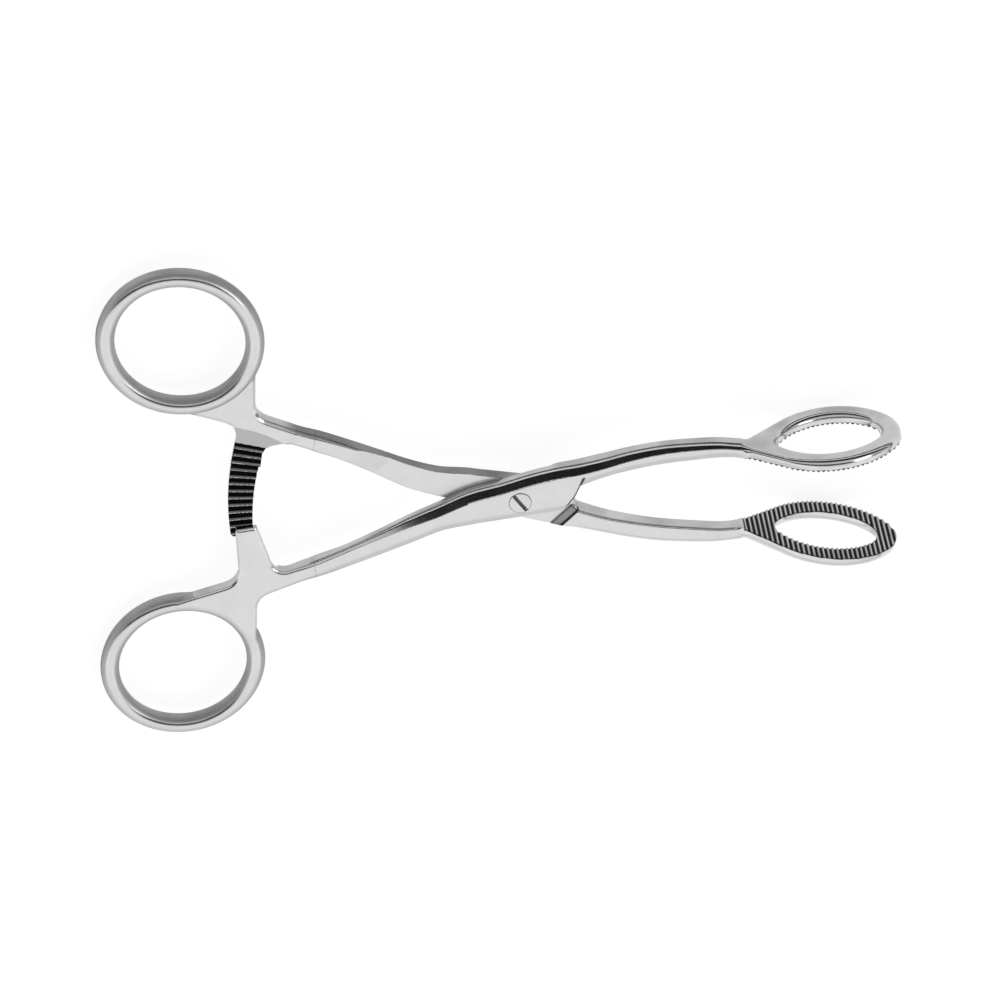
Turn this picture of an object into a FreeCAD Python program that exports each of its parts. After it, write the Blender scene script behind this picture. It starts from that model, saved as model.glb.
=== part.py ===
import FreeCAD, Part
import math
import os

# Tongue forceps with fenestrated, cross-serrated jaws, finger rings, a ratchet
# and a slotted pivot screw. Millimetres.
# X runs along the instrument from the rings to the jaws, Z is the pivot axis,
# and the two halves meet on the plane Z = 0.
# Each half is drawn in its closed place, as the half whose jaw is at +Y and
# which lies over the other one at the lock, and is then opened about Z.

Vector = FreeCAD.Vector
origin = Vector(0, 0, 0)
x_axis = Vector(1, 0, 0)
z_axis = Vector(0, 0, 1)

# Pose that the instrument is stored in
half_opening_deg = 8.4
pivot_x = 4.0

# Lap lock
mating_gap = 0.10
lock_top = 3.5
lock_grinding = 0.1
shoulder_foot = 9.8
shoulder_rise = 1.6
shoulder_turn_deg = 35.9
relief_start = 26.0
relief_end = 44.0
lobe_edge = -3.65
lobe_rear = -11.0
lobe_corner = 8.4
lobe_nose = [(10.1, -2.4), (13.0, 2.0)]

# Jaw: a D-section band round an egg-shaped window, flat serrated face
jaw_root_x = 48.2
jaw_face_root = 1.35
jaw_face_tip = 0.15
jaw_thickness = 2.95
jaw_tip_x = 81.95
jaw_half_width = 11.9
jaw_half_length = 14.9
jaw_tip_radius = 0.77 * jaw_half_width
jaw_flare_deg = 38.0
jaw_root_half = 1.9
jaw_root_radius = 4.0
band_width = 4.2
window_half_width = jaw_half_width - band_width
window_half_length = jaw_half_length - band_width
window_front_radius = 0.78 * window_half_width
window_rear_radius = 0.49 * window_half_width
jaw_back_bevel = 1.0
serration_pitch = 1.05
serration_depth = 0.5
serration_start = 48.8

# Blade: place along X, outer edge, inner edge, height of the top face, width of its bevel
arm_half_thickness = 1.95
arm_stations = [
    (jaw_root_x + 0.5, jaw_face_root + jaw_thickness + 0.05, jaw_face_root - 0.05, 1.95, 0.95),
    (44.0, 5.4, 2.2, 1.95, 1.1),
    (37.5, 6.15, 2.65, 1.95, 1.3),
    (31.0, 6.6, 2.9, 2.0, 1.35),
    (24.6, 6.5, 2.77, 2.25, 1.35),
    (18.0, 6.1, 2.2, 2.7, 1.35),
    (13.5, 6.05, 1.4, 3.1, 1.35),
]
lock_stations = [
    (9.5, 6.15, 0.6, lock_top + lock_grinding, 1.35),
    (3.0, 5.55, -1.0, lock_top + lock_grinding, 1.35),
    (-3.5, 4.5, -2.8, lock_top + lock_grinding, 1.35),
    (-10.0, 3.7, -3.7, lock_top + lock_grinding, 1.35),
]
shank_stations = [
    (-17.5, 1.85, -3.85, 3.42, 1.35),
    (-24.0, 0.3, -5.3, 3.15, 1.3),
    (-31.0, -2.15, -7.25, 2.75, 1.15),
    (-37.5, -4.4, -9.0, 2.4, 0.85),
    (-44.0, -6.4, -10.55, 2.15, 0.55),
    (-50.0, -7.9, -11.5, 2.1, 0.55),
]
bevel_slope = 0.93
shank_bottom = -1.35
shank_set = 0.8

# Ratchet: radii from the pivot, angles from -X towards the half's own ring
bar_outer_radius = 61.6
bar_root_width = 6.5
bar_tip_width = 4.4
bar_tip_deg = 18.5
stub_tip_deg = 3.2
recess_deg = 9.2
bar_clearance = 0.5
relief_depth = 0.25
tooth_pitch_deg = 1.65
tooth_depth = 0.55
tooth_cover = 0.2
bar_teeth = 13
stub_teeth = 5

# Finger ring
ring_behind_bar = 14.8
ring_center_y = -28.35
ring_half_width = 15.0
ring_elongation = 0.8
ring_end_share = 0.96
ring_turn_deg = 20.3
ring_tube_width = 4.0
ring_tube_height = 4.2
ring_tube_sides = 16

# Web that joins ring, shank and ratchet
web_top = 2.1
web_bevel = 0.55
web_start_x = -44.0
stub_corner_radius = 3.0
stub_end_radius = 0.8
ring_corner_radius = 4.0

# Pivot screw and its seats
screw_shank_radius = 1.7
screw_thread_radius = 1.4
screw_head_radius = 2.42
screw_head_rim = 0.35
screw_crown = 0.2
screw_fit = 0.05
thread_fit = 0.01
slot_width = 0.75
slot_depth = 0.9
slot_turn_deg = -52.0
countersink_depth = 0.9


def polygon(points):
    """Closed wire through points given as vectors."""
    return Part.Wire(Part.makePolygon(points + [points[0]]))


def turned(shape, angle):
    """The shape turned about the pivot axis."""
    shape.rotate(origin, z_axis, angle)
    return shape


def flipped(shape):
    """The shape turned half round about X, which swaps over and under."""
    shape.rotate(origin, x_axis, 180)
    return shape


def blend(value, low, high):
    """Smooth step from 0 at low to 1 at high."""
    t = min(max((value - low) / (high - low), 0.0), 1.0)
    return t * t * (3 - 2 * t)


def bevelled_section(x, outer, inner, bottom, top, bevel):
    """Eight-sided section across X; the bevel is widest on the outer top edge."""
    lower = 0.65 * bevel
    fine = 0.4 * bevel
    corners = [
        (outer, bottom + lower * bevel_slope),
        (outer, top - bevel * bevel_slope),
        (outer - bevel, top),
        (inner + 2 * fine, top),
        (inner, top - fine),
        (inner, bottom + lower * bevel_slope),
        (inner + lower, bottom),
        (outer - lower, bottom),
    ]
    return polygon([Vector(x, y, z) for y, z in corners])


def blade(shank_shift):
    """Arm, lock and shank as one lofted bar; shank_shift moves the shank inwards."""
    sections = []
    for x, outer, inner, top, bevel in arm_stations + lock_stations:
        sections.append(bevelled_section(x, outer, inner, -arm_half_thickness, top, bevel))
    for x, outer, inner, top, bevel in shank_stations:
        shift = shank_shift * blend(x, lock_stations[-1][0], shank_stations[1][0])
        sections.append(bevelled_section(x, outer + shift, inner + shift, shank_bottom, top, bevel))
    return Part.makeLoft(sections, True, False)


def lobe():
    """End of the lock plate past the screw: straight edge, round corner, slanted nose."""
    low = mating_gap / 2
    rear = Vector(lobe_rear, lobe_edge, low)
    corner = Vector(lobe_corner, lobe_edge, low)
    start = Vector(*lobe_nose[0], low)
    stop = Vector(*lobe_nose[1], low)
    bend = corner + (start - corner) * 0.5
    bend += Vector(1, -1, 0).normalize() * corner.distanceToPoint(start) * 0.14
    inside = Vector(lobe_rear, 0, low)
    edges = [
        Part.LineSegment(rear, corner).toShape(),
        Part.Arc(corner, bend, start).toShape(),
        Part.LineSegment(start, stop).toShape(),
        Part.LineSegment(stop, inside).toShape(),
        Part.LineSegment(inside, rear).toShape(),
    ]
    return Part.Face(Part.Wire(edges)).extrude(Vector(0, 0, lock_top - low))


def ground_off():
    """Block that grinds the outer face of the lock flat."""
    length = 4 * -lobe_rear
    return Part.makeBox(length, length, lock_top, Vector(-length / 2, -length / 2, lock_top))


def lock_clearance():
    """Space under the mating plane, from the sloped shoulder back to the shank."""
    low = mating_gap / 2
    deep = -2 * lock_top
    reach = 2 * relief_end
    profile = [
        (-relief_end, deep),
        (-relief_end, -arm_half_thickness),
        (-relief_start, low),
        (shoulder_foot, low),
        (shoulder_foot + shoulder_rise, -arm_half_thickness - low),
        (shoulder_foot + 2 * shoulder_rise, deep),
    ]
    wire = polygon([Vector(n, -reach / 2, z) for n, z in profile])
    return turned(Part.Face(wire).extrude(Vector(0, reach, 0)), shoulder_turn_deg)


def egg_arcs(half_length, half_width, front_radius, rear_radius):
    """Four arcs that join smoothly into an oval or egg, as centre, radius, start and sweep.

    The widest place is at X = 0 and the front end at X = half_length.
    """
    reach = half_length - front_radius
    side_radius = reach**2 + half_width**2 - front_radius**2
    side_radius /= 2 * (half_width - front_radius)
    drop = side_radius - half_width
    rear_reach = math.sqrt((side_radius - rear_radius) ** 2 - drop**2)
    front = math.degrees(math.atan2(drop, reach))
    rear = math.degrees(math.atan2(drop, rear_reach))
    return [
        (Vector(reach, 0, 0), front_radius, -front, 2 * front),
        (Vector(0, -drop, 0), side_radius, front, 180 - front - rear),
        (Vector(-rear_reach, 0, 0), rear_radius, 180 - rear, 2 * rear),
        (Vector(0, drop, 0), side_radius, 180 + rear, 180 - front - rear),
    ]


def arc_edge(center, radius, start, sweep):
    """Arc in the XY plane."""
    circle = Part.Circle(center, z_axis, radius)
    return Part.Arc(circle, math.radians(start), math.radians(start + sweep)).toShape()


def tube_section(radius):
    """Oval section of the ring's tube, at a radius from the centre of its arc."""
    corners = []
    for i in range(ring_tube_sides):
        angle = 2 * math.pi * i / ring_tube_sides
        out = ring_tube_width / 2 * math.cos(angle)
        up = ring_tube_height / 2 * math.sin(angle)
        corners.append(Vector(radius + out, 0, up))
    return polygon(corners)


def ring_frame():
    """Centre of a finger ring and the arcs of its centre line, before it is turned."""
    center = Vector(-bar_outer_radius - ring_behind_bar, ring_center_y, 0)
    radius = ring_end_share * ring_half_width
    return center, egg_arcs(ring_half_width + ring_elongation, ring_half_width, radius, radius)


def finger_ring():
    """Oval ring of four arcs, each a tube turned about its own centre."""
    place, arcs = ring_frame()
    ring = []
    for center, radius, start, sweep in arcs:
        tube = turned(tube_section(radius), start)
        part = Part.Face(tube).revolve(origin, z_axis, sweep)
        part.translate(center)
        ring.append(part)
    ring = turned(ring[0].multiFuse(ring[1:]).removeSplitter(), ring_turn_deg)
    ring.translate(place)
    return ring


def ring_opening():
    """Plate inside the ring's centre line, which clears the web out of the ring."""
    place, arcs = ring_frame()
    wire = Part.Wire([arc_edge(*arc) for arc in arcs])
    plate = turned(Part.Face(wire).extrude(Vector(0, 0, 4 * web_top)), ring_turn_deg)
    plate.translate(place - Vector(0, 0, 2 * web_top))
    return plate


def rounded_plate(corners, low, high):
    """Plate whose plan has the given corners (x, y, radius)."""
    count = len(corners)
    points = [Vector(x, y, low) for x, y, r in corners]
    ends = []
    edges = []
    for i, (x, y, r) in enumerate(corners):
        here = points[i]
        to_last = (points[i - 1] - here).normalize()
        to_next = (points[(i + 1) % count] - here).normalize()
        if r == 0:
            ends.append((here, here))
            continue
        half = to_last.getAngle(to_next) / 2
        first = here + to_last * (r / math.tan(half))
        last = here + to_next * (r / math.tan(half))
        bisector = (to_last + to_next).normalize()
        middle = here + bisector * (r / math.sin(half) - r)
        edges.append(Part.Arc(first, middle, last).toShape())
        ends.append((first, last))
    for i in range(count):
        start = ends[i][1]
        stop = ends[(i + 1) % count][0]
        edges.append(Part.LineSegment(start, stop).toShape())
    wire = Part.Wire(Part.__sortEdges__(edges))
    return Part.Face(wire).extrude(Vector(0, 0, high - low))


def on_arc(radius, angle):
    """Point at a radius from the pivot, angle measured from -X towards the ring."""
    a = math.radians(angle)
    return -radius * math.cos(a), -radius * math.sin(a)


def web(shift, with_stub):
    """Flat web between ring, shank and ratchet, with bevelled edges."""
    ring_center_x = -bar_outer_radius - ring_behind_bar
    last = shank_stations[-2]
    start_high = (last[1] + shift, 0)
    start_low = (last[2] + shift, 0)
    stub_end = -stub_tip_deg if with_stub else 0.45 * recess_deg
    stub_out = on_arc(bar_outer_radius - 0.3 * stub_end_radius, stub_end)
    stub_in = on_arc(bar_outer_radius - bar_root_width + stub_end_radius, stub_end)
    crotch = on_arc(bar_outer_radius - bar_root_width - stub_end_radius, recess_deg)
    outer_root = on_arc(bar_outer_radius + stub_end_radius, recess_deg)
    ring_edge_y = ring_center_y + ring_half_width + ring_tube_width / 3
    ring_edge_x = ring_center_x + ring_half_width + ring_elongation + ring_tube_width / 3
    corners = [
        (web_start_x, *start_high),
        (crotch[0], crotch[1] + shift / 2, stub_corner_radius),
        (*stub_in, stub_end_radius),
        (*stub_out, stub_end_radius),
        (*outer_root, ring_corner_radius),
        (ring_center_x, ring_edge_y, 0),
        (ring_center_x, ring_center_y, 0),
        (ring_edge_x, ring_center_y, 0),
        (ring_edge_x + ring_tube_width / 2, ring_edge_y - ring_tube_width / 3 + shift, ring_corner_radius),
        (web_start_x, *start_low),
    ]
    plate = rounded_plate(corners, shank_bottom, web_top)
    rims = []
    for edge in plate.Edges:
        ends = [v.Point for v in edge.Vertexes]
        level = abs(ends[0].z - ends[-1].z) < 1e-6
        middle = edge.valueAt((edge.FirstParameter + edge.LastParameter) / 2)
        buried = middle.y < (ring_center_y + ring_edge_y) / 2 or abs(middle.x - web_start_x) < 1e-3
        if level and not buried:
            rims.append(edge)
    return plate.makeChamfer(web_bevel, rims).cut(ring_opening())


def annular_sector(inner, outer, start, stop, low, high):
    """Ring sector about the pivot between two angles from -X."""
    big = Part.makeCylinder(outer, high - low, Vector(0, 0, low), z_axis, stop - start)
    small = Part.makeCylinder(inner, high - low, Vector(0, 0, low), z_axis, stop - start)
    sector = big.cut(small)
    sector.rotate(origin, z_axis, start)
    sector.rotate(origin, z_axis, 180)
    return sector


def ratchet_bar():
    """Toothed bar that tapers towards its free end and passes under the stub."""
    low = mating_gap / 2
    middle = (recess_deg - bar_tip_deg) / 2
    root_radius = bar_outer_radius - bar_root_width
    tip_radius = bar_outer_radius - bar_tip_width
    outer = [Vector(*on_arc(bar_outer_radius, a), low) for a in (recess_deg + 1, middle, -bar_tip_deg)]
    inner = [
        Vector(*on_arc(tip_radius, -bar_tip_deg), low),
        Vector(*on_arc((root_radius + tip_radius) / 2, middle), low),
        Vector(*on_arc(root_radius, recess_deg + 1), low),
    ]
    edges = [
        Part.Arc(*outer).toShape(),
        Part.LineSegment(outer[-1], inner[0]).toShape(),
        Part.Arc(*inner).toShape(),
        Part.LineSegment(inner[-1], outer[0]).toShape(),
    ]
    return Part.Face(Part.Wire(edges)).extrude(Vector(0, 0, web_top - low))


def ratchet_teeth(first_angle, count):
    """Saw-tooth grooves across the ratchet, cut upwards from the mating plane."""
    grooves = []
    level = mating_gap / 2
    radius = bar_outer_radius - bar_root_width / 2
    width = math.radians(tooth_pitch_deg) * radius
    reach = 2 * bar_root_width
    for i in range(count):
        profile = [
            Vector(-radius - reach / 2, -0.12 * width, level - tooth_cover),
            Vector(-radius - reach / 2, 0.88 * width, level - tooth_cover),
            Vector(-radius - reach / 2, 0.12 * width, level + tooth_depth),
        ]
        groove = Part.Face(polygon(profile)).extrude(Vector(reach, 0, 0))
        grooves.append(turned(groove, first_angle - i * tooth_pitch_deg))
    return Part.makeCompound(grooves)


def jaw_outline():
    """Plan of the jaw: narrow root, straight flare, then an oval round the tip."""
    tip_arc, side_arc = egg_arcs(jaw_half_length, jaw_half_width, jaw_tip_radius, jaw_tip_radius)[:2]
    center, radius, start, sweep = side_arc
    flare = math.radians(jaw_flare_deg)
    touch = center + Vector(-math.sin(flare), math.cos(flare), 0) * radius
    corner = Vector(touch.x - (touch.y - jaw_root_half) / math.tan(flare), jaw_root_half, 0)
    back = jaw_root_radius * math.tan(flare / 2)
    first = corner - Vector(back, 0, 0)
    last = corner + Vector(math.cos(flare), math.sin(flare), 0) * back
    middle = first + Vector(0, jaw_root_radius, 0)
    middle += (corner - middle).normalize() * jaw_root_radius
    foot = Vector(jaw_root_x - jaw_tip_x + jaw_half_length, jaw_root_half, 0)
    side = [
        Part.LineSegment(foot, first).toShape(),
        Part.Arc(first, middle, last).toShape(),
        Part.LineSegment(last, touch).toShape(),
        arc_edge(center, radius, start, 90 + jaw_flare_deg - start),
    ]
    mirrored = [edge.mirror(origin, Vector(0, 1, 0)) for edge in side]
    root = Part.LineSegment(foot, Vector(foot.x, -foot.y, 0)).toShape()
    return Part.Wire(Part.__sortEdges__(side + [arc_edge(*tip_arc)] + mirrored + [root]))


def standing_prism(wire, height):
    """Prism along Y from an outline drawn about the jaw's widest place."""
    prism = Part.Face(wire).extrude(Vector(0, 0, -height))
    prism.rotate(origin, x_axis, 90)
    prism.translate(Vector(jaw_tip_x - jaw_half_length, 0, 0))
    return prism


def bevelled_rim(solid, near):
    """Bevel the outer face's rim that passes nearest to a point."""
    rims = []
    for edge in solid.Edges:
        middle = edge.valueAt((edge.FirstParameter + edge.LastParameter) / 2)
        if abs(middle.y - jaw_thickness) < 1e-3:
            rims.append((middle.distanceToPoint(near), len(rims), edge))
    return solid.makeChamfer(jaw_back_bevel, [min(rims)[2]])


def jaw():
    """Fenestrated jaw: flared root, oval band, bevelled back, flat sloping face."""
    band = standing_prism(jaw_outline(), jaw_thickness)
    band = bevelled_rim(band, Vector(jaw_tip_x, jaw_thickness, 0))
    arcs = egg_arcs(window_half_length, window_half_width, window_front_radius, window_rear_radius)
    window = standing_prism(Part.Wire([arc_edge(*arc) for arc in arcs]), 3 * jaw_thickness)
    window.translate(Vector(0, -jaw_thickness, 0))
    band = bevelled_rim(band.cut(window), Vector(jaw_tip_x - band_width, jaw_thickness, 0))
    slope = math.degrees(math.atan2(jaw_face_root - jaw_face_tip, jaw_tip_x - jaw_root_x))
    band.translate(Vector(-jaw_root_x, 0, 0))
    band.rotate(origin, z_axis, -slope)
    band.translate(Vector(jaw_root_x, jaw_face_root, 0))
    return band


def serrations():
    """Rows of V grooves across the jaw's face."""
    slope = (jaw_face_root - jaw_face_tip) / (jaw_tip_x - jaw_root_x)
    grooves = []
    for i in range(int((jaw_tip_x - serration_start) / serration_pitch) + 1):
        x = serration_start + i * serration_pitch
        y = jaw_face_root - (x - jaw_root_x) * slope
        half_groove = serration_pitch * 0.44
        reach = jaw_half_width + jaw_thickness
        lead = 0.2
        profile = [
            Vector(x - half_groove * (1 + lead), y - serration_depth * lead, -reach),
            Vector(x + half_groove * (1 + lead), y - serration_depth * lead, -reach),
            Vector(x, y + serration_depth, -reach),
        ]
        grooves.append(Part.Face(polygon(profile)).extrude(Vector(0, 0, 2 * reach)))
    return Part.makeCompound(grooves)


def half(shift, with_stub):
    """One forged half in its closed place, before holes and teeth."""
    body = blade(shift).cut(lock_clearance()).cut(ground_off())
    body = body.fuse(lobe()).fuse(jaw()).fuse(web(shift, with_stub)).fuse(finger_ring())
    return body.cut(serrations())


def screw_profile(clearance, head_clearance, low):
    """Half section of the pivot screw, grown by the clearances."""
    step = mating_gap / 2
    top = lock_top + screw_crown
    head_low = lock_top - screw_head_rim - countersink_depth
    return [
        (0, low),
        (screw_thread_radius + clearance, low),
        (screw_thread_radius + clearance, -step),
        (screw_shank_radius + head_clearance, -step),
        (screw_shank_radius + head_clearance, head_low),
        (screw_head_radius + head_clearance, head_low + countersink_depth),
        (screw_head_radius + head_clearance, lock_top),
        (0, top),
    ]


def revolved(profile):
    """Solid of revolution about the pivot axis."""
    wire = polygon([Vector(r, 0, z) for r, z in profile])
    return Part.Face(wire).revolve(origin, z_axis, 360)


def upper_half():
    """Half that lies on top at the lock and carries the short ratchet stub."""
    body = half(-shank_set, True)
    inner = bar_outer_radius - bar_root_width - 2 * bar_clearance
    outer = bar_outer_radius + bar_clearance
    low = mating_gap / 2
    room = annular_sector(inner, outer, -bar_tip_deg, 2.4 * recess_deg, -2 * web_top, low + relief_depth)
    land = annular_sector(inner, outer, -bar_tip_deg, 0.5 * recess_deg, low, 2 * low + relief_depth)
    body = body.cut(room.cut(land))
    body = body.cut(ratchet_teeth(-stub_tip_deg + stub_teeth * tooth_pitch_deg, stub_teeth))
    head_low = lock_top - screw_head_rim - countersink_depth
    bore = revolved([
        (0, -lock_top),
        (screw_shank_radius + screw_fit, -lock_top),
        (screw_shank_radius + screw_fit, head_low),
        (screw_head_radius + screw_fit, head_low + countersink_depth),
        (screw_head_radius + screw_fit, 2 * lock_top),
        (0, 2 * lock_top),
    ])
    return turned(body.cut(bore), half_opening_deg)


def recess():
    """Space above the lower half's ratchet, cut back to a curved step in the web."""
    low = mating_gap / 2
    root = on_arc(bar_outer_radius - bar_root_width, recess_deg)
    rear = on_arc(bar_outer_radius + bar_root_width, recess_deg)
    shank = shank_stations[-2]
    top = bar_outer_radius / 2
    corners = [
        (rear[0], rear[1], 0),
        (root[0], root[1], 0),
        (shank[0], shank[1] + shank_set + 2 * mating_gap, 0),
        (shank[0], top, 0),
        (rear[0], top, 0),
    ]
    return rounded_plate(corners, -2 * web_top, low)


def lower_half():
    """Half that lies beneath at the lock and carries the long ratchet bar."""
    body = half(shank_set, False).cut(recess()).fuse(ratchet_bar())
    body = body.cut(ratchet_teeth(0.5 * recess_deg, bar_teeth))
    bore = Part.makeCylinder(screw_thread_radius + thread_fit, 3 * lock_top, Vector(0, 0, -lock_top))
    return turned(flipped(body.cut(bore)), -half_opening_deg)


def pivot_screw():
    """Slotted countersunk screw; its shoulder seats on the lower half's plate."""
    low = -lock_top
    body = revolved(screw_profile(0, 0, low))
    length = 4 * screw_head_radius
    slot = Part.makeBox(length, slot_width, 2 * slot_depth)
    slot.translate(Vector(-length / 2, -slot_width / 2, lock_top + screw_crown - slot_depth))
    return body.cut(turned(slot, slot_turn_deg))


def main():
    """Build the pieces and write one file for each."""
    os.makedirs("parts", exist_ok=True)
    pieces = {
        "upper_jaw_half": upper_half(),
        "lower_jaw_half": lower_half(),
        "pivot_screw": pivot_screw(),
    }
    for name, shape in pieces.items():
        shape = shape.removeSplitter()
        shape.translate(Vector(pivot_x, 0, 0))
        solids = shape.Solids
        print(name, "solids", len(solids), "valid", shape.isValid(), "volume", round(shape.Volume, 2))
        shape.exportStep(f"parts/{name}.step")


main()
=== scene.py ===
import math

import bpy
import numpy as np
from mathutils import Matrix, Vector


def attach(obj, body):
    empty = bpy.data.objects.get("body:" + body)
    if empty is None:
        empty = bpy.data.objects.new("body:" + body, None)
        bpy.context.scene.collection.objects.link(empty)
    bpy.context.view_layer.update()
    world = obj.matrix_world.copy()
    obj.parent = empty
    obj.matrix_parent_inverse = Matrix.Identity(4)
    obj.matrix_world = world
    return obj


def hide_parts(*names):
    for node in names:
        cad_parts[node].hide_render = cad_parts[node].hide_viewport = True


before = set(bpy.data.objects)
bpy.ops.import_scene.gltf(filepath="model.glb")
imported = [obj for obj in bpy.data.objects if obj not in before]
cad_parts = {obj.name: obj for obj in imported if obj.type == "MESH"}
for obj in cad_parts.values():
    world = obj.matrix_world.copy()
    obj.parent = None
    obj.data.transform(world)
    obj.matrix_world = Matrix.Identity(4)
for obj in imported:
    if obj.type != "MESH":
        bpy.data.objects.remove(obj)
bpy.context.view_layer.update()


# Arm, lock plate and shank of a half.
# Each half is one drop forging in martensitic stainless steel, milled at the lock, ratchet and jaw
# and ground to shape. It is drawn closed, in millimetres about the pivot, jaw at +Y, ring at -Y.

blade_table = np.array([
    # along X, edge at +Y, edge at -Y, height of the top
    (-57.0, -9.7, -13.4, 1.7), (-50.0, -7.9, -11.5, 2.02), (-44.0, -6.4, -10.55, 2.17),
    (-37.5, -4.4, -9.0, 2.42), (-31.0, -2.15, -7.25, 2.75), (-24.0, 0.3, -5.3, 3.15),
    (-17.5, 1.85, -3.85, 3.42), (-10.0, 3.7, -3.7, 3.5), (-3.5, 4.5, -2.8, 3.5),
    (3.0, 5.55, -1.0, 3.5), (9.5, 6.15, 0.6, 3.45), (13.5, 6.05, 1.4, 3.1),
    (18.0, 6.2, 2.2, 2.7), (24.6, 6.8, 2.77, 2.25), (31.0, 6.95, 2.9, 2.0),
    (37.5, 6.5, 2.65, 1.95), (44.0, 5.65, 2.2, 1.95), (48.7, 4.5, 1.33, 1.95),
    (55.0, 3.5, 1.0, 1.95)])
lock_top = 3.5
underside = -1.35                                # of shank and web; the lock plate is deeper
lap = 0.05                                       # half of the play between the two lock plates


def station(x, column):
    """Smooth curve through one column of the blade's table, as cubic pieces with shared slopes."""
    xs, ys = blade_table[:, 0], blade_table[:, column]
    slopes = np.gradient(ys, xs)
    i = np.clip(np.searchsorted(xs, x) - 1, 0, len(xs) - 2)
    h = xs[i + 1] - xs[i]
    t = np.clip((x - xs[i]) / h, 0.0, 1.0)
    return ((1 + 2 * t) * (1 - t) ** 2 * ys[i] + t * (1 - t) ** 2 * h * slopes[i]
            + t * t * (3 - 2 * t) * ys[i + 1] + t * t * (t - 1) * h * slopes[i + 1])


def step(value, low, high):
    """Smooth step from 0 at low to 1 at high."""
    t = np.clip((value - low) / (high - low), 0.0, 1.0)
    return t * t * (3 - 2 * t)


def both(a, b, k=0.12):
    """Inside both shapes: the larger distance, with the edge between them rounded over k."""
    h = np.clip(0.5 + 0.5 * (a - b) / k, 0.0, 1.0)
    return b + (a - b) * h + k * h * (1 - h)


def either(a, b, k=0.12):
    """Inside either shape: the smaller distance, with the corner filled over k."""
    return -both(-a, -b, k)


def chamfer(across, up, width, height):
    """Distance outside a bevel that takes width off one face and height off the other."""
    return ((across + width) * height + (up + height) * width - width * height) / np.hypot(width, height)


def blade(x, y, z, set_over):
    """Eight-sided section that changes along X; set_over moves the shank sideways.
    The upper edge at +Y has a wide bevel with two narrow facets above the side face."""
    shift = set_over * step(-x, 10.0, 26.0)
    outer = y - station(x, 1) - shift
    inner = station(x, 2) + shift - y
    top = z - station(x, 3)
    under = underside - 0.6 * step(x, -30.0, -12.0) - z
    wide = step(x, -45.0, -36.0)
    metal = both(both(outer, inner), both(top, under))

    grown = step(x, -38.0, -14.0)
    narrower = 1 - 0.42 * np.clip((x - 5.0) / 40.0, 0, 1)
    width, height = (0.9 + 1.12 * grown) * narrower, (0.5 + 1.32 * grown) * narrower
    metal = both(metal, chamfer(outer, top, width, height), 0.06)
    for across, up, reach in ((0.79, 0.613, 0.397), (0.846, 0.533, 0.398)):
        metal = both(metal, across * outer + up * top + reach + up * (height - 0.45), 0.08)

    by_shoulder = 1 - step(x, 6.0, 19.0)
    metal = both(metal, chamfer(inner, top, 0.9 + 0.4 * wide, 0.5), 0.2)
    metal = both(metal, chamfer(inner, under, 0.8 - 0.4 * wide, 0.6 - 0.2 * wide), 0.2)
    metal = both(metal, chamfer(outer, under, 0.6 + 0.2 * wide, 0.5 + 1.3 * by_shoulder * wide), 0.2)
    metal = metal + 0.25 * np.maximum(x - 48.2, 0) + 0.3 * np.maximum(-48.8 - x, 0)
    return np.maximum(metal, np.maximum(x - 50.5, -52.0 - x))


def nose(x, y):
    """Distance in plan outside the slightly rounded nose of the lock plate."""
    return both(0.685 * x - 0.729 * y - 8.6, 0.871 * x - 0.491 * y - 10.6, 0.6)


def lobe(x, y, z):
    """End of the lock plate past the screw: straight edge, round corner, rounded nose."""
    edge = -3.65 - y
    front = np.maximum(nose(x, y), 0.81 * x - 0.587 * y - 9.5 - 0.8 * z)
    top = z - np.minimum(lock_top, station(x, 3))
    plan = both(edge, front, 1.6)
    plan = np.maximum(plan, y - station(x, 1) + 1.8)
    metal = both(plan, np.maximum(top, -z), 0.1)
    metal = both(metal, chamfer(edge, top, 1.3, 0.45), 0.2)
    return np.maximum(metal, -11.0 - x)


def towards_shoulder(x, y):
    """Distance in plan from the pivot, square to the line of the shoulder."""
    return 0.81 * x + 0.587 * y


def under_lock(x, y, z):
    """Room for the other half: under the mating plane, from the shoulder to the shank."""
    n = towards_shoulder(x, y)
    shoulder = (n - 9.7) * 0.78 + (z - lap) * 0.625
    shank = -(n + 26.0) * 0.184 + (z - lap) * 0.983
    return both(z - lap, both(shoulder, shank, 0.1), 0.1)


# Finger ring, web and ratchet of a half.
# The ring is an oval bar, buffed all round. The web joins it to the shank and carries the toothed
# bar on the lower half, and on the upper half a stub whose own teeth face the bar.

ring_centre, ring_turn = (-76.4, -28.35), math.radians(20.3)
web_top = 2.1
tooth_pitch = 1.65                               # degrees about the pivot
last_tooth = 5.2                                 # degrees from -X towards the ring


def egg(u, w, half_length, half_width, front, rear):
    """Distance from an egg of four tangent arcs: radius front at +u, rear at -u, equal flat sides."""
    reach = half_length - front
    side = (reach ** 2 + half_width ** 2 - front ** 2) / (2 * (half_width - front))
    drop = side - half_width
    back = math.sqrt((side - rear) ** 2 - drop ** 2)
    w = np.abs(w)
    from_front = np.hypot(u - reach, w) - front
    from_rear = np.hypot(u + back, w) - rear
    from_side = np.hypot(u, w + drop) - side
    ahead = u * drop > (w + drop) * reach
    behind = -u * drop > (w + drop) * back
    return np.where(ahead, from_front, np.where(behind, from_rear, from_side))


def oval(u, w, a, b):
    """Distance from an ellipse of half axes a and b, negative inside, first order near the curve."""
    f = np.sqrt((u / a) ** 2 + (w / b) ** 2)
    slope = np.sqrt(u ** 2 / a ** 4 + w ** 2 / b ** 4)
    return np.where(f < 0.3, -0.7 * min(a, b), (f - 1) * f / np.maximum(slope, 1e-6))


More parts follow.
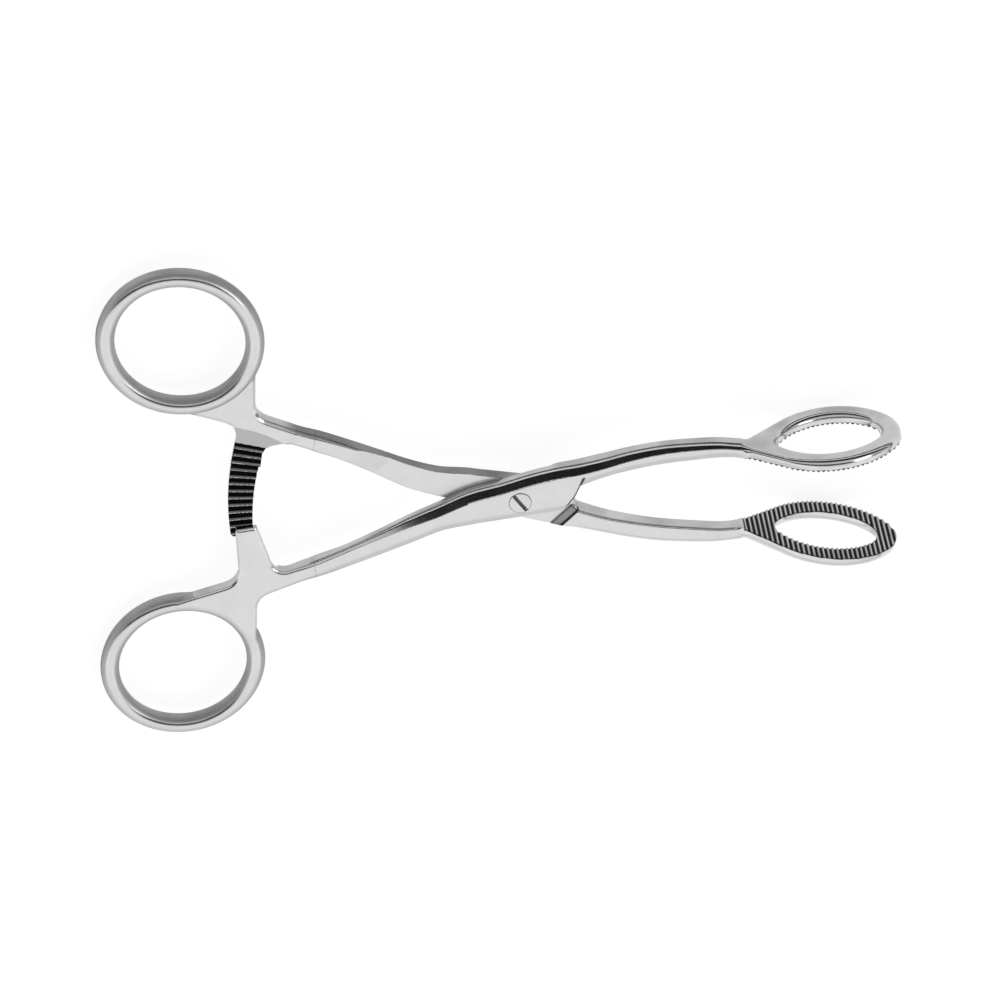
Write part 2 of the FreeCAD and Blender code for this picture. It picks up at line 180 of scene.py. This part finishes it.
def ring(x, y, z):
    """Oval finger ring: elliptic tube round an oval centre line; also its plan distance."""
    c, s = math.cos(ring_turn), math.sin(ring_turn)
    u, w = x - ring_centre[0], y - ring_centre[1]
    plan = egg(u * c + w * s, w * c - u * s, 15.8, 15.0, 14.4, 14.4)
    return oval(plan, z, 2.0, 2.1), plan


def rounded_outline(corners):
    """Closed outline through corners (x, y, radius), each arc cut into short chords."""
    points = np.array([c[:2] for c in corners])
    out = []
    for i, (x, y, r) in enumerate(corners):
        here = points[i]
        a, b = points[i - 1] - here, points[(i + 1) % len(corners)] - here
        a, b = a / np.hypot(*a), b / np.hypot(*b)
        if r == 0:
            out.append(here)
            continue
        half = math.acos(float(a @ b)) / 2
        centre = here + (a + b) / np.hypot(*(a + b)) * r / math.sin(half)
        first, last = here + a * r / math.tan(half) - centre, here + b * r / math.tan(half) - centre
        turn = math.atan2(first[0] * last[1] - first[1] * last[0], float(first @ last))
        for t in np.linspace(0, turn, 9):
            out.append(centre + [first[0] * math.cos(t) - first[1] * math.sin(t),
                                 first[0] * math.sin(t) + first[1] * math.cos(t)])
    return np.array(out)


def plan_distance(x, y, outline):
    """Signed distance in plan from a closed outline, negative inside."""
    best = np.full(np.broadcast(x, y).shape, 1e9)
    inside = np.zeros(best.shape, bool)
    for a, b in zip(outline, np.roll(outline, -1, axis=0)):
        dx, dy = b - a
        t = np.clip(((x - a[0]) * dx + (y - a[1]) * dy) / (dx * dx + dy * dy + 1e-12), 0, 1)
        best = np.minimum(best, (x - a[0] - t * dx) ** 2 + (y - a[1] - t * dy) ** 2)
        crosses = (a[1] > y) != (b[1] > y)
        inside ^= crosses & (x < a[0] + (y - a[1]) * dx / (dy if dy else 1e-12))
    return np.where(inside, -1, 1) * np.sqrt(best)


# the upper half's web runs up into the stub, the lower half's ends at the root of the bar
web_outline = {
    1: rounded_outline([(-43.0, -7.6, 0), (-50.0, -8.65, 0), (-53.6, -9.35, 3.0), (-55.9, 3.1, 0.8),
                        (-60.4, 3.1, 0.8), (-61.4, -9.9, 4.0), (-76.4, -12.4, 0), (-76.4, -26.0, 0),
                        (-60.2, -26.0, 0), (-58.3, -14.4, 4.0), (-50.0, -12.35, 0), (-43.0, -10.3, 0)]),
    -1: rounded_outline([(-43.0, -6.1, 0), (-50.0, -6.9, 3.0), (-55.5, -5.0, 3.0), (-55.3, 0.0, 0),
                         (-61.7, 0.0, 0), (-61.4, -9.9, 4.0), (-76.4, -12.4, 0), (-76.4, -26.0, 0),
                         (-60.2, -26.0, 0), (-58.3, -12.8, 4.0), (-50.0, -10.75, 0), (-43.0, -8.7, 0)])}


def web(x, y, z, side):
    """Flat plate inside the outline, with a shallow bevel above and below; also its plan distance."""
    rim = plan_distance(x, y, web_outline[side])
    middle, half = (web_top + underside) / 2, (web_top - underside) / 2
    metal = np.maximum(rim, np.abs(z - middle) - half)
    metal = both(metal, chamfer(rim, z - web_top, 0.6, 0.35), 0.15)
    return both(metal, chamfer(rim, underside - z, 0.8, 0.6), 0.2), rim


def polar(x, y):
    """Distance from the pivot and angle from -X towards the ring, in degrees."""
    return np.hypot(x, y), np.degrees(np.arctan2(-y, -x))


def teeth(a, depth):
    """Height of the ratchet's saw teeth above the mating plane: each rises over the first fifth
    of its pitch and falls over the rest."""
    t = (a - last_tooth) / tooth_pitch
    t = t - np.floor(t)
    return lap + depth * (1 - np.where(t < 0.2, t / 0.2, (1 - t) / 0.8))


def rounded(a, b, r):
    """Inside both shapes, with an edge of true radius r where they cross at right angles."""
    u, v = a + r, b + r
    return np.sqrt(np.maximum(u, 0) ** 2 + np.maximum(v, 0) ** 2) + np.minimum(np.maximum(u, v), 0) - r


def bar(x, y, z):
    """Ratchet bar along an arc about the pivot, tapering to its free end."""
    r, a = polar(x, y)
    inner = 55.1 + 1.9 * (9.0 - a) / 28.0
    plan = both(r - 61.6, inner - r, 0.5)
    plan = both(plan, np.maximum(a - 9.3, -16.6 - a), 0.9)
    return rounded(plan, np.maximum(z - web_top, lap - z), 0.3)


# Jaw of a half.
# An open, egg-shaped loop with a domed back, forged with the arm and flared from it. Its face is
# milled with cross grooves that hold the tongue.

groove_start, groove_pitch, groove_depth = 48.8, 1.05, 0.5


def above_face(x, y):
    """Height above the jaw's gripping face, which leans a little towards the tip."""
    return y - (1.35 - (x - 48.2) * 0.0356)


def jaw(x, y, z):
    """Band round an egg-shaped window, cut flat at the face and domed at the back."""
    v = above_face(x, y)
    u, w = x - 67.05, np.abs(z)
    flare = (w - 8.39 - (u + 10.18) * 0.7813) * 0.788
    flare = np.maximum(either(flare, w - 1.95, 1.2), u + 10.2)
    outline = np.maximum(np.minimum(egg(u, w, 14.9, 11.9, 9.16, 9.16), flare), 46.6 - x)
    band = both(outline, -egg(u, w, 10.7, 7.7, 6.0, 3.8), 0.1)
    domed = rounded(band, v - 2.95, 1.85)
    return np.maximum(domed, -v) + 0.25 * np.maximum(48.6 - x, 0)


def grooves(x, y):
    """Distance inside the V grooves: their depth is a triangle wave along the jaw."""
    wave = np.abs(1 - 2 * ((x - groove_start) / groove_pitch % 1.0))
    cut = groove_depth * wave * (x > groove_start)
    return np.where(x > 48.4, (cut - above_face(x, y)) * 0.75, -1.0)


# Whole half, as a closed skin.
# The pieces above run into each other in one forging, so the half is a blended distance field and
# its surface is found on a lattice, in three pieces: ring and web, shank and lock, jaw.

def forging(x, y, z, side):
    """Distance from a half; side is 1 for the upper half with its stub, -1 for the lower."""
    metal = np.minimum(blade(x, y, z, -0.8 * side), lobe(x, y, z))
    metal = both(metal, -under_lock(x, y, z), 0.08)
    tube, plan = ring(x, y, z)
    plate, rim = web(x, y, z, side)
    near_rim = 1 - step(np.abs(rim), 0.3, 1.2)
    metal = either(metal, np.maximum(plate, np.maximum(-plan, x + 43.0)), 0.03 + 0.3 * near_rim)
    r, a = polar(x, y)
    if side > 0:
        room = np.maximum(np.maximum(r - 61.9, 53.6 - r), np.maximum(a - 22.0, -12.0 - a))
        metal = both(metal, -np.maximum(room, z - 0.25), 0.05)
        metal = both(metal, np.where((a < 4.5) & (x < -48), (teeth(a, 0.5) - z) * 0.85, -1.0), 0.05)
    else:
        line = both(-8.9 + (x + 55.1) * 0.136, -8.9 + (x + 55.1) * 0.5, 1.5)
        recess = np.maximum(z - lap, np.maximum(line - y, x + 46.0))
        metal = either(both(metal, -recess, 0.3), bar(x, y, z), 0.06)
        toothed = (a < last_tooth) & (x < -48)
        metal = both(metal, np.where(toothed, (teeth(a, 0.6) - z) * 0.85, -1.0), 0.1)
    metal = either(metal, tube, 0.1)
    metal = either(metal, jaw(x, y, z), 0.5)
    metal = both(metal, grooves(x, y), 0.08)
    if side > 0:
        hole = np.hypot(x, y) - np.minimum(1.78 + np.maximum(z - 2.3, 0) * 0.82, 2.36)
    else:
        hole = np.hypot(x, y) - 1.42
    return both(metal, -hole, 0.04)


def skin(distance, low, high, cell):
    """Surface where a distance is 0: one vertex for each lattice cell that it crosses, moved onto
    it along its gradient, and one quad for each lattice edge that it crosses.
    Returns vertices, their normals and the quads."""
    axes = [np.arange(round(a / cell), round(b / cell) + 1) * cell for a, b in zip(low, high)]
    x, y, z = axes[0][:, None, None], axes[1][None, :, None], axes[2][None, None, :]
    field = np.broadcast_to(distance(x, y, z), [len(a) for a in axes]).astype(np.float32)
    inside = field < 0
    shape = np.array(field.shape) - 1
    corner = [(i, j, k) for i in (0, 1) for j in (0, 1) for k in (0, 1)]

    def shifted(array, by):
        """The lattice values at one corner of every cell."""
        return array[tuple(slice(o, o + n) for o, n in zip(by, shape))]

    count = sum(shifted(inside, c).astype(np.int8) for c in corner)
    cells = np.argwhere((count > 0) & (count < 8))
    index = np.full(shape, -1, np.int32)
    index[tuple(cells.T)] = np.arange(len(cells))
    value = {c: field[tuple((cells + c).T)] for c in corner}
    total, hits = np.zeros((len(cells), 3)), np.zeros((len(cells), 1))
    for a in corner:
        for axis in range(3):
            if a[axis]:
                continue
            b = tuple(1 if i == axis else n for i, n in enumerate(a))
            crossed = ((value[a] < 0) != (value[b] < 0))[:, None]
            t = value[a] / np.where(value[a] == value[b], 1, value[a] - value[b])
            point = np.array(a) + t[:, None] * (np.array(b) - a)
            total += np.where(crossed, point, 0)
            hits += crossed
    start = np.array([a[0] for a in axes])
    middle = start + (cells + total / hits) * cell
    points = middle.copy()

    def gradient(p, h):
        """Central differences of the distance over h along each axis."""
        parts = []
        for axis in range(3):
            offset = np.eye(3)[axis] * h
            parts.append(distance(*(p + offset).T) - distance(*(p - offset).T))
        return np.stack(parts, 1) / (2 * h)

    # two steps down the gradient, each vertex kept near its own cell so that no quad folds
    for _ in range(2):
        g = gradient(points, 0.02)
        move = distance(*points.T)[:, None] * g / np.maximum((g ** 2).sum(1, keepdims=True), 0.05)
        points = np.clip(points - move, middle - 0.6 * cell, middle + 0.6 * cell)
    normals = gradient(points, 0.03)
    normals /= np.maximum(np.linalg.norm(normals, axis=1, keepdims=True), 1e-9)
    quads = []
    for axis in range(3):
        others = [i for i in range(3) if i != axis]
        first = np.take(inside, range(0, inside.shape[axis] - 1), axis)
        second = np.take(inside, range(1, inside.shape[axis]), axis)
        found = np.argwhere(first != second)
        keep = np.all([(found[:, i] > 0) & (found[:, i] < shape[i]) for i in others], axis=0)
        if axis == 0:
            keep &= found[:, 0] > 0
        found = found[keep]
        e, f = np.eye(3, dtype=int)[others[0]], np.eye(3, dtype=int)[others[1]]
        quad = np.stack([index[tuple((found - o).T)] for o in (0 * e, e, e + f, f)], 1)
        leaves = first[tuple(found.T)] ^ (axis == 1)
        quads.append(np.where(leaves[:, None], quad, quad[:, ::-1]))
    return points, normals, np.concatenate(quads)


pivot_x = 4.0
half_opening = math.radians(8.4)


def placed(points, side):
    """Closed place to the photo's pose: turn the lower half over, then open both about the pivot."""
    p = points * [1, side, side]
    c, s = math.cos(half_opening * side), math.sin(half_opening * side)
    return np.stack([p[:, 0] * c - p[:, 1] * s, p[:, 0] * s + p[:, 1] * c, p[:, 2]], 1)


def mesh_object(name, points, normals, quads, material, body, **attributes):
    """Mesh object in metres with its own normals and named values on its vertices."""
    data = bpy.data.meshes.new(name)
    data.from_pydata((points + [pivot_x, 0, 0]) * 0.001, [], quads.tolist())
    data.polygons.foreach_set("use_smooth", np.ones(len(quads), bool))
    data.normals_split_custom_set_from_vertices(normals)
    for key, values in attributes.items():
        layer = data.attributes.new(key, "FLOAT", "POINT")
        layer.data.foreach_set("value", values.astype(np.float32))
    data.materials.append(material)
    made = bpy.data.objects.new(name, data)
    bpy.context.scene.collection.objects.link(made)
    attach(made, body)
    return made


def painted_shade_marks(p, side):
    """0 on clean metal and 1 where near-black shade is painted: groove and tooth roots, recess, shoulder
    corners and the edge of the nose."""
    x, y, z = p.T
    v = above_face(x, y)
    # painted shade in the roots of the jaw's cross grooves
    root_shade = step(v, 0.02, 0.36) * (x > 48.7) * (v < 0.53) * step(-v, -0.53, -0.5)
    r, a = polar(x, y)
    # painted shade in the roots of the ratchet teeth
    on_teeth = (r > 50) * (r < 62.5) * (a < last_tooth) * (a > -19) * (z < 0.7) * (x < -50)
    root_shade = root_shade + on_teeth * step(z, 0.07, 0.3)
    if side > 0:
        # painted shade: a dark line along the top edge of the nose
        edge = (np.abs(nose(x, y)) < 0.3) * (z > 0.4) * (y < 3.4) * (y > -3.7)
        return np.clip(root_shade + 0.85 * edge, 0, 1)
    n = towards_shoulder(x, y)
    # painted shade on the recess floor, 0.28 of the near-black; the same value makes it rougher, as a
    # milled face
    recess = (np.abs(z - lap) < 0.12) * (x < -46.5) * (x > -62) * (y > -10.5) * (a > last_tooth)
    corner = (np.abs(y) < 7) * (x > 0) * (x < 20) * (z < -0.1)
    # painted shade: dark lines at the foot and at the top of the shoulder
    lines = 0.9 * (np.abs(n - 11.15) < 0.22) + 0.6 * (np.abs(n - 9.85) < 0.2)
    return np.clip(root_shade + 0.28 * recess + corner * lines, 0, 1)


def outer_side_shade(p, normals):
    """1 on the outer side of a shank, where a darker colour is painted as shade; it is also rougher
    there.
    """
    along = step(p[:, 0], -53.0, -49.0) * (1 - step(p[:, 0], -6.0, 4.0))
    return step(-normals[:, 1], 0.35, 0.7) * along


def linear(hex_colour):
    """Linear RGBA of an sRGB hex colour."""
    parts = [int(hex_colour[i:i + 2], 16) / 255 for i in (1, 3, 5)]
    return [c / 12.92 if c <= 0.04045 else ((c + 0.055) / 1.055) ** 2.4 for c in parts] + [1.0]


def node(tree, kind, settings=None, **links):
    """Add a node, set its properties and inputs, and link what is given as a socket.
    An input is named by its label, or by i and its number."""
    made = tree.nodes.new(kind)
    for name, value in (settings or {}).items():
        setattr(made, name, value)
    for name, value in links.items():
        key = int(name[1:]) if name[0] == "i" and name[1:].isdigit() else name.replace("_", " ")
        if isinstance(value, bpy.types.NodeSocket):
            tree.links.new(value, made.inputs[key])
        else:
            made.inputs[key].default_value = value
    return made


def ground_and_polished_steel():
    """Stainless steel: satin grinding on the flats, a darker grey painted on the side faces as shade,
    bright buffed edges, softer buffing round the rings, and near-black painted shade in the roots
    of teeth and grooves and along some corners and edges, rougher where it lies."""
    material = bpy.data.materials.new("ground_and_polished_stainless_steel")
    material.use_nodes = True
    tree = material.node_tree
    shader = tree.nodes["Principled BSDF"]
    place = node(tree, "ShaderNodeTexCoord").outputs["Object"]
    groove, flat, flank, buffed = [
        node(tree, "ShaderNodeAttribute", {"attribute_name": name}).outputs["Fac"]
        for name in ("groove", "flat", "flank", "buffed")]

    # grinding lines about 1.1 mm long and 0.2 mm apart, coarser than real grit so that they show;
    # clouds of about 4 mm in the polish and 9 mm in the grey of the side faces
    stretched = node(tree, "ShaderNodeMapping", Vector=place, Scale=(900.0, 5200.0, 5200.0))
    lines = node(tree, "ShaderNodeTexNoise", Vector=stretched.outputs[0], Scale=1.0, Detail=3.0)
    clouds = node(tree, "ShaderNodeTexNoise", Vector=place, Scale=260.0, Detail=4.0, Roughness=0.6)
    patches = node(tree, "ShaderNodeTexNoise", Vector=place, Scale=110.0, Detail=2.0).outputs["Fac"]
    patches = node(tree, "ShaderNodeMapRange", i0=patches, i1=0.36, i2=0.64).outputs[0]

    top = node(tree, "ShaderNodeMix", {"data_type": "RGBA"}, i0=clouds.outputs["Fac"],
               i6=linear("#D0D1D1"), i7=linear("#E2E3E2")).outputs[2]
    # painted shade: steep side faces take this darker grey in place of the darker reflections they catch;
    # the patches vary it at random
    side = node(tree, "ShaderNodeMix", {"data_type": "RGBA"}, i0=patches,
                i6=linear("#A4A5A6"), i7=linear("#BFC0C0")).outputs[2]
    clean = node(tree, "ShaderNodeMix", {"data_type": "RGBA"}, i0=flank, i6=top, i7=side).outputs[2]
    # painted shade: near-black mixed in where the painted shade value is high; the same value raises the
    # roughness below
    colour = node(tree, "ShaderNodeMix", {"data_type": "RGBA"}, i0=groove,
                  i6=clean, i7=linear("#131314")).outputs[2]
    tree.links.new(colour, shader.inputs["Base Color"])
    shader.inputs["Metallic"].default_value = 1.0

    rough = node(tree, "ShaderNodeMapRange", i0=flat, i3=0.12, i4=0.27).outputs[0]
    for source, amount in ((clouds.outputs["Fac"], 0.06), (groove, 0.35), (buffed, 0.22)):
        rough = node(tree, "ShaderNodeMath", {"operation": "MULTIPLY_ADD"},
                     i0=source, i1=amount, i2=rough).outputs[0]
    tree.links.new(rough, shader.inputs["Roughness"])
    depth = node(tree, "ShaderNodeMath", {"operation": "MULTIPLY"}, i0=lines.outputs["Fac"], i1=flat)
    bump = node(tree, "ShaderNodeBump", Strength=0.12, Distance=0.00002, Height=depth.outputs[0])
    tree.links.new(bump.outputs[0], shader.inputs["Normal"])
    return material


steel = ground_and_polished_steel()
for label, side, reach in (("upper", 1, 4.2), ("lower", -1, 21.0)):
    boxes = {
        # part: lowest corner, highest corner, lattice cell
        "ring_and_web": ((-94.2, -46.2, -2.4), (-45.0, reach, 2.4), 0.165),
        "shank_and_lock": ((-45.15, -14.4, -2.4), (46.2, 8.1, 3.9), 0.15),
        "serrated_jaw": ((46.05, -0.6, -12.3), (82.5, 6.0, 12.3), 0.15),
    }
    for part, (low, high, cell) in boxes.items():
        points, normals, quads = skin(lambda x, y, z: forging(x, y, z, side), low, high, cell)
        upward = np.abs(normals[:, 2])
        # painted shade: the marks above, and 0.6 of the near-black on the outer side of each shank
        groove = np.maximum(painted_shade_marks(points, side), 0.6 * outer_side_shade(points, normals))
        buffed = np.zeros(len(points))
        if part == "ring_and_web":
            on_tube = np.abs(ring(*points.T)[1]) < 2.2
            buffed = on_tube * (1 - step(upward, 0.78, 0.93))
            # painted shade: the ring's sloping sides take 0.3 of the near-black; the buffing itself is
            # the raised roughness
            groove = np.maximum(groove, 0.3 * buffed)
        # flank is painted shade: 1 on steep faces, which take the darker side grey
        piece = mesh_object(label + "_half_" + part, placed(points, side), placed(normals, side),
                            quads, steel, label + "_half", groove=groove, buffed=buffed,
                            flat=step(upward, 0.93, 0.99), flank=1 - step(upward, 0.3, 0.8))
        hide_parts(label + "_jaw_half")


# Pivot screw.
# Turned from stainless bar, slotted, and ground nearly flush with the lock plate. Its thread sits
# in the lower half, and the upper half turns on its shank.

slot_turn = math.radians(-52)


def screw(x, y, z):
    """Countersunk head with a low crown, plain shank, thread and a slot across the head."""
    r = np.hypot(x, y)
    crown = z - 3.72 + 0.022 * r * r
    head = both(both(r - 2.3, crown, 0.06), (r - 1.7) * 0.74 - (z - 2.25) * 0.67, 0.05)
    head = np.maximum(head, 1.0 - z)
    shank = np.maximum(r - 1.7, np.maximum(z - 3.0, -lap - z))
    thread = both(r - 1.4, np.maximum(z - 0.1, -3.48 - z), 0.08)
    metal = np.minimum(np.minimum(head, shank), thread)
    across = np.abs(y * math.cos(slot_turn) - x * math.sin(slot_turn)) - 0.375
    return both(metal, -np.maximum(across, 2.85 - z), 0.07)


points, normals, quads = skin(screw, (-2.7, -2.7, -3.75), (2.7, 2.7, 4.05), 0.075)
end_shade = step(-points[:, 2], -3.45, -2.9) * (np.hypot(points[:, 0], points[:, 1]) < 2.6) * 0.7
screw_piece = mesh_object("slotted_pivot_screw", points, normals, quads, steel, "lower_half",
                          groove=end_shade, flat=step(np.abs(normals[:, 2]), 0.9, 0.99),
                          flank=0 * end_shade, buffed=0 * end_shade)
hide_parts("pivot_screw")


# Floor, studio light and camera.
# White table under the rings and the jaws' edges, a white tent round it, and a black flag on
# the far side that draws the dark lines of polished steel.

def floor():
    """White table top just under the rings and the lower edges of the jaws. It glows to the camera
    and in reflections, so that the ground stays an even white."""
    material = bpy.data.materials.new("white_studio_table")
    material.use_nodes = True
    tree = material.node_tree
    shader = tree.nodes["Principled BSDF"]
    place = node(tree, "ShaderNodeTexCoord").outputs["Object"]
    grain = node(tree, "ShaderNodeTexNoise", Vector=place, Scale=40.0, Detail=3.0).outputs["Fac"]
    colour = node(tree, "ShaderNodeMix", {"data_type": "RGBA"}, i0=grain,
                  i6=linear("#9A9A9A"), i7=linear("#9E9E9E")).outputs[2]
    tree.links.new(colour, shader.inputs["Base Color"])
    shader.inputs["Roughness"].default_value = 0.9
    shader.inputs["Specular IOR Level"].default_value = 0.0
    shader.inputs["Emission Color"].default_value = linear("#FFFFFF")
    path = node(tree, "ShaderNodeLightPath")
    seen = path.outputs["Is Camera Ray"]
    for ray in ("Is Glossy Ray", "Is Transmission Ray"):
        seen = node(tree, "ShaderNodeMath", {"operation": "MAXIMUM"},
                    i0=seen, i1=path.outputs[ray]).outputs[0]
    brightness = 0.82
    glow = node(tree, "ShaderNodeMath", {"operation": "MULTIPLY"}, i0=seen, i1=brightness)
    tree.links.new(glow.outputs[0], shader.inputs["Emission Strength"])
    reach = 3.0
    ring_x, jaw_x, ring_z, jaw_z = -0.0925, 0.0705, -0.00235, -0.0121
    slope = (jaw_z - ring_z) / (jaw_x - ring_x)
    data = bpy.data.meshes.new("table_top")
    corners = [(x, y, ring_z + (x - ring_x) * slope) for x, y in
               ((-reach, -reach), (reach, -reach), (reach, reach), (-reach, reach))]
    data.from_pydata(corners, [], [(0, 1, 2, 3)])
    data.materials.append(material)
    made = bpy.data.objects.new("table_top", data)
    bpy.context.scene.collection.objects.link(made)


def studio():
    """White tent as the world's light. Brightness goes by the angle round the X axis, atan2(z, y)
    over half a turn, from the +Y horizon over the top: bright line, black flag, two soft boxes
    with a dark gap between them, and white wall."""
    world = bpy.data.worlds.new("white_tent")
    bpy.context.scene.world = world
    world.use_nodes = True
    tree = world.node_tree
    direction = node(tree, "ShaderNodeTexCoord").outputs["Generated"]
    axes = node(tree, "ShaderNodeSeparateXYZ", Vector=direction)
    angle = node(tree, "ShaderNodeMath", {"operation": "ARCTAN2"}, i0=axes.outputs[2], i1=axes.outputs[1])
    turn = node(tree, "ShaderNodeMath", {"operation": "DIVIDE"}, i0=angle.outputs[0], i1=math.pi)
    # degrees above the +Y horizon, brightness
    stops = [(0, 0.03), (10, 0.03), (13, 1.2), (18, 1.2), (22, 0.005), (43, 0.005), (49, 0.6),
             (68, 0.75), (75, 0.03), (91, 0.03), (98, 1.0), (130, 1.05), (145, 0.8), (180, 0.8)]
    tent = node(tree, "ShaderNodeValToRGB", Fac=turn.outputs[0])
    elements = tent.color_ramp.elements
    while len(elements) < len(stops):
        elements.new(0.5)
    for element, (degrees, grey) in zip(elements, stops):
        element.position = degrees / 180
        element.color = (grey, grey, grey, 1.0)
    tree.links.new(tent.outputs["Color"], tree.nodes["Background"].inputs["Color"])


def softbox(name, place, aim, size, power):
    """Square area lamp aimed at a point."""
    lamp = bpy.data.lights.new(name, "AREA")
    lamp.size = size
    lamp.energy = power
    made = bpy.data.objects.new(name, lamp)
    made.location = place
    made.rotation_euler = (Vector(aim) - Vector(place)).to_track_quat("-Z", "Y").to_euler()
    bpy.context.scene.collection.objects.link(made)


def camera():
    """Long lens above the table on the +Y side, turned so that +Y is up in the picture. The view
    was fitted to the rings, the jaws and the lock."""
    right = Vector((0.99670905, 0.01480344, 0.07969901))
    up = Vector((0.02747057, 0.86332494, -0.5039002))
    back = Vector((-0.07626559, 0.50443126, 0.86007712))
    aim = Vector((-0.00005, -0.000835, 0.000556))
    distance = 1.5
    data = bpy.data.cameras.new("photo_camera")
    data.lens = 255.1
    data.sensor_width = 36.0
    data.clip_end = 20.0
    made = bpy.data.objects.new("photo_camera", data)
    turn = Matrix((right, up, back)).transposed().to_4x4()
    made.matrix_world = Matrix.Translation(aim + back * distance) @ turn
    bpy.context.scene.collection.objects.link(made)
    bpy.context.scene.camera = made


floor()
studio()
softbox("overhead_softbox", (0.9, 0.3, 1.0), (0, 0, 0), 0.6, 2.0)
camera()
bpy.context.scene.view_settings.view_transform = "Standard"
